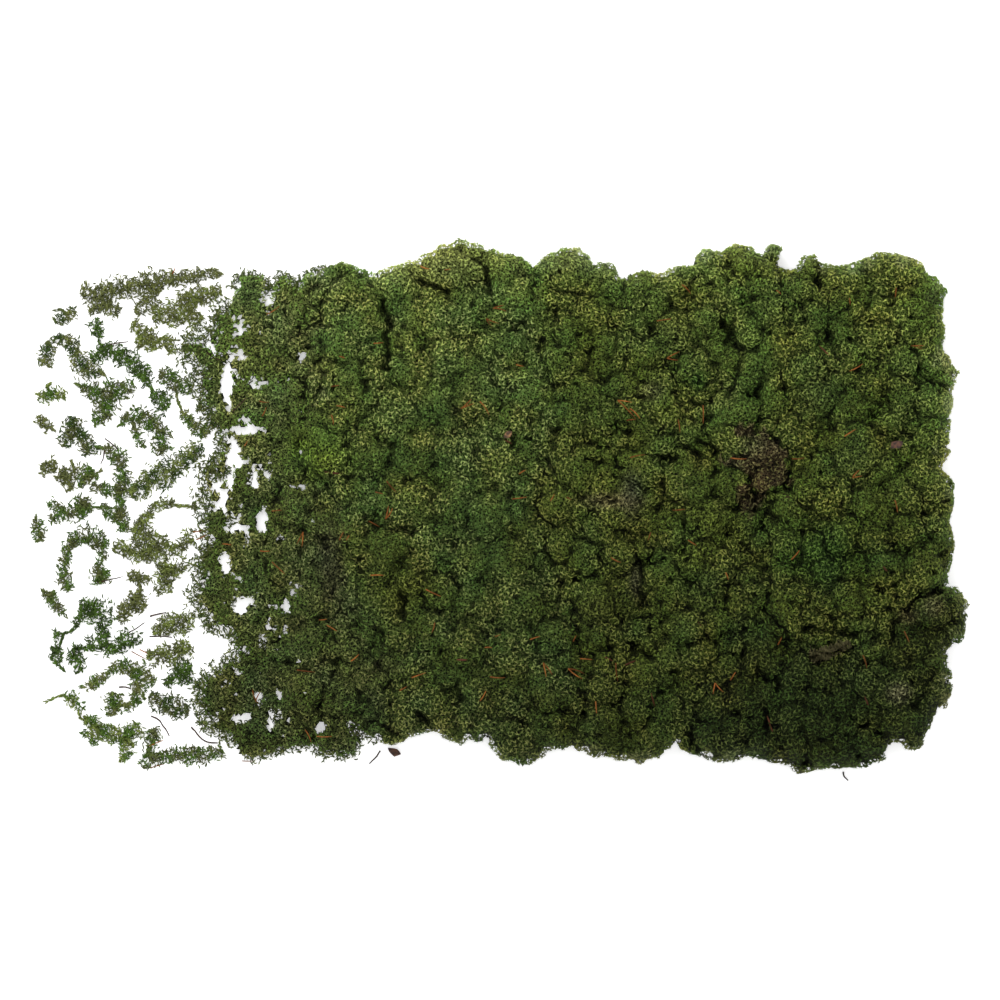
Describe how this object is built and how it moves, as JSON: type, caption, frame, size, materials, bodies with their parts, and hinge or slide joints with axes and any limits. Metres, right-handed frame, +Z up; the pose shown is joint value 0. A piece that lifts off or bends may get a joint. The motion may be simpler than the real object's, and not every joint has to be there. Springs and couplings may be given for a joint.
{
  "type": "reindeer moss clump",
  "caption": "Mass of reindeer moss lying flat: thick rounded cushions that thin out into a lacy edge and trailing sprigs. Ground cover and display filler.",
  "frame": {"origin": "centre of the small flat spot under the middle of the mass, on the surface it lies on", "axes": "+X along the mass from the trailing sprigs to the thick end, +Y across it, +Z up"},
  "size_m": [1.1772, 0.6803, 0.0968],
  "materials": {
    "olive_moss": "dry spongy lichen, olive, matt",
    "yellow_green_moss": "dry spongy lichen, yellow-green, matt",
    "green_moss": "dry spongy lichen, green, matt",
    "forest_moss": "dry spongy lichen, forest green, matt",
    "dark_moss": "dry spongy lichen, dark green, matt",
    "grey_brown_moss": "dead lichen, grey-brown, matt",
    "fringe_moss": "thin dry sprigs, pale olive, matt",
    "twig": "dark bark, matt",
    "pine_needle": "dry pine needle, orange-brown, slight sheen",
    "bark": "dark red-brown bark flake, matt"
  },
  "bodies": {
    "root": {"left_edge_clump": "olive_moss", "middle_left_clump": "yellow_green_moss", "middle_clump": "green_moss", "right_upper_clump": "forest_moss", "right_lower_clump": "dark_moss", "grey_curl": "grey_brown_moss", "grey_strand": "grey_brown_moss", "fringe_spray_01": "fringe_moss", "fringe_spray_02": "fringe_moss", "fringe_spray_03": "fringe_moss", "fringe_spray_04": "fringe_moss", "fringe_spray_05": "fringe_moss", "fringe_spray_06": "fringe_moss", "fringe_spray_07": "fringe_moss", "fringe_spray_08": "fringe_moss", "fringe_spray_09": "fringe_moss", "fringe_spray_10": "fringe_moss", "fringe_spray_11": "fringe_moss", "fringe_spray_12": "fringe_moss", "fringe_spray_13": "fringe_moss", "fringe_spray_14": "fringe_moss", "fringe_spray_15": "fringe_moss", "fringe_spray_16": "fringe_moss", "fringe_spray_17": "fringe_moss", "fringe_spray_18": "fringe_moss", "fringe_spray_19": "fringe_moss", "fringe_spray_20": "fringe_moss", "fringe_spray_21": "fringe_moss", "fringe_spray_22": "fringe_moss", "fringe_spray_23": "fringe_moss", "fringe_spray_24": "fringe_moss", "fringe_spray_25": "fringe_moss", "fringe_spray_26": "fringe_moss", "fringe_spray_27": "fringe_moss", "fringe_spray_28": "fringe_moss", "fringe_spray_29": "fringe_moss", "fringe_spray_30": "fringe_moss", "fringe_spray_31": "fringe_moss", "fringe_spray_32": "fringe_moss", "needle_pair_01": "pine_needle", "needle_pair_02": "pine_needle", "needle_pair_03": "pine_needle", "needle_pair_04": "pine_needle", "needle_pair_05": "pine_needle", "needle_pair_06": "pine_needle", "needle_pair_07": "pine_needle", "needle_pair_08": "pine_needle", "needle_pair_09": "pine_needle", "needle_pair_10": "pine_needle", "needle_pair_11": "pine_needle", "needle_pair_12": "pine_needle", "twig_01": "twig", "twig_02": "twig", "twig_03": "twig", "twig_04": "twig", "twig_05": "twig", "twig_06": "twig", "bark_flake_01": "bark", "bark_flake_02": "bark", "bark_flake_03": "bark"}
  },
  "joints": []
}
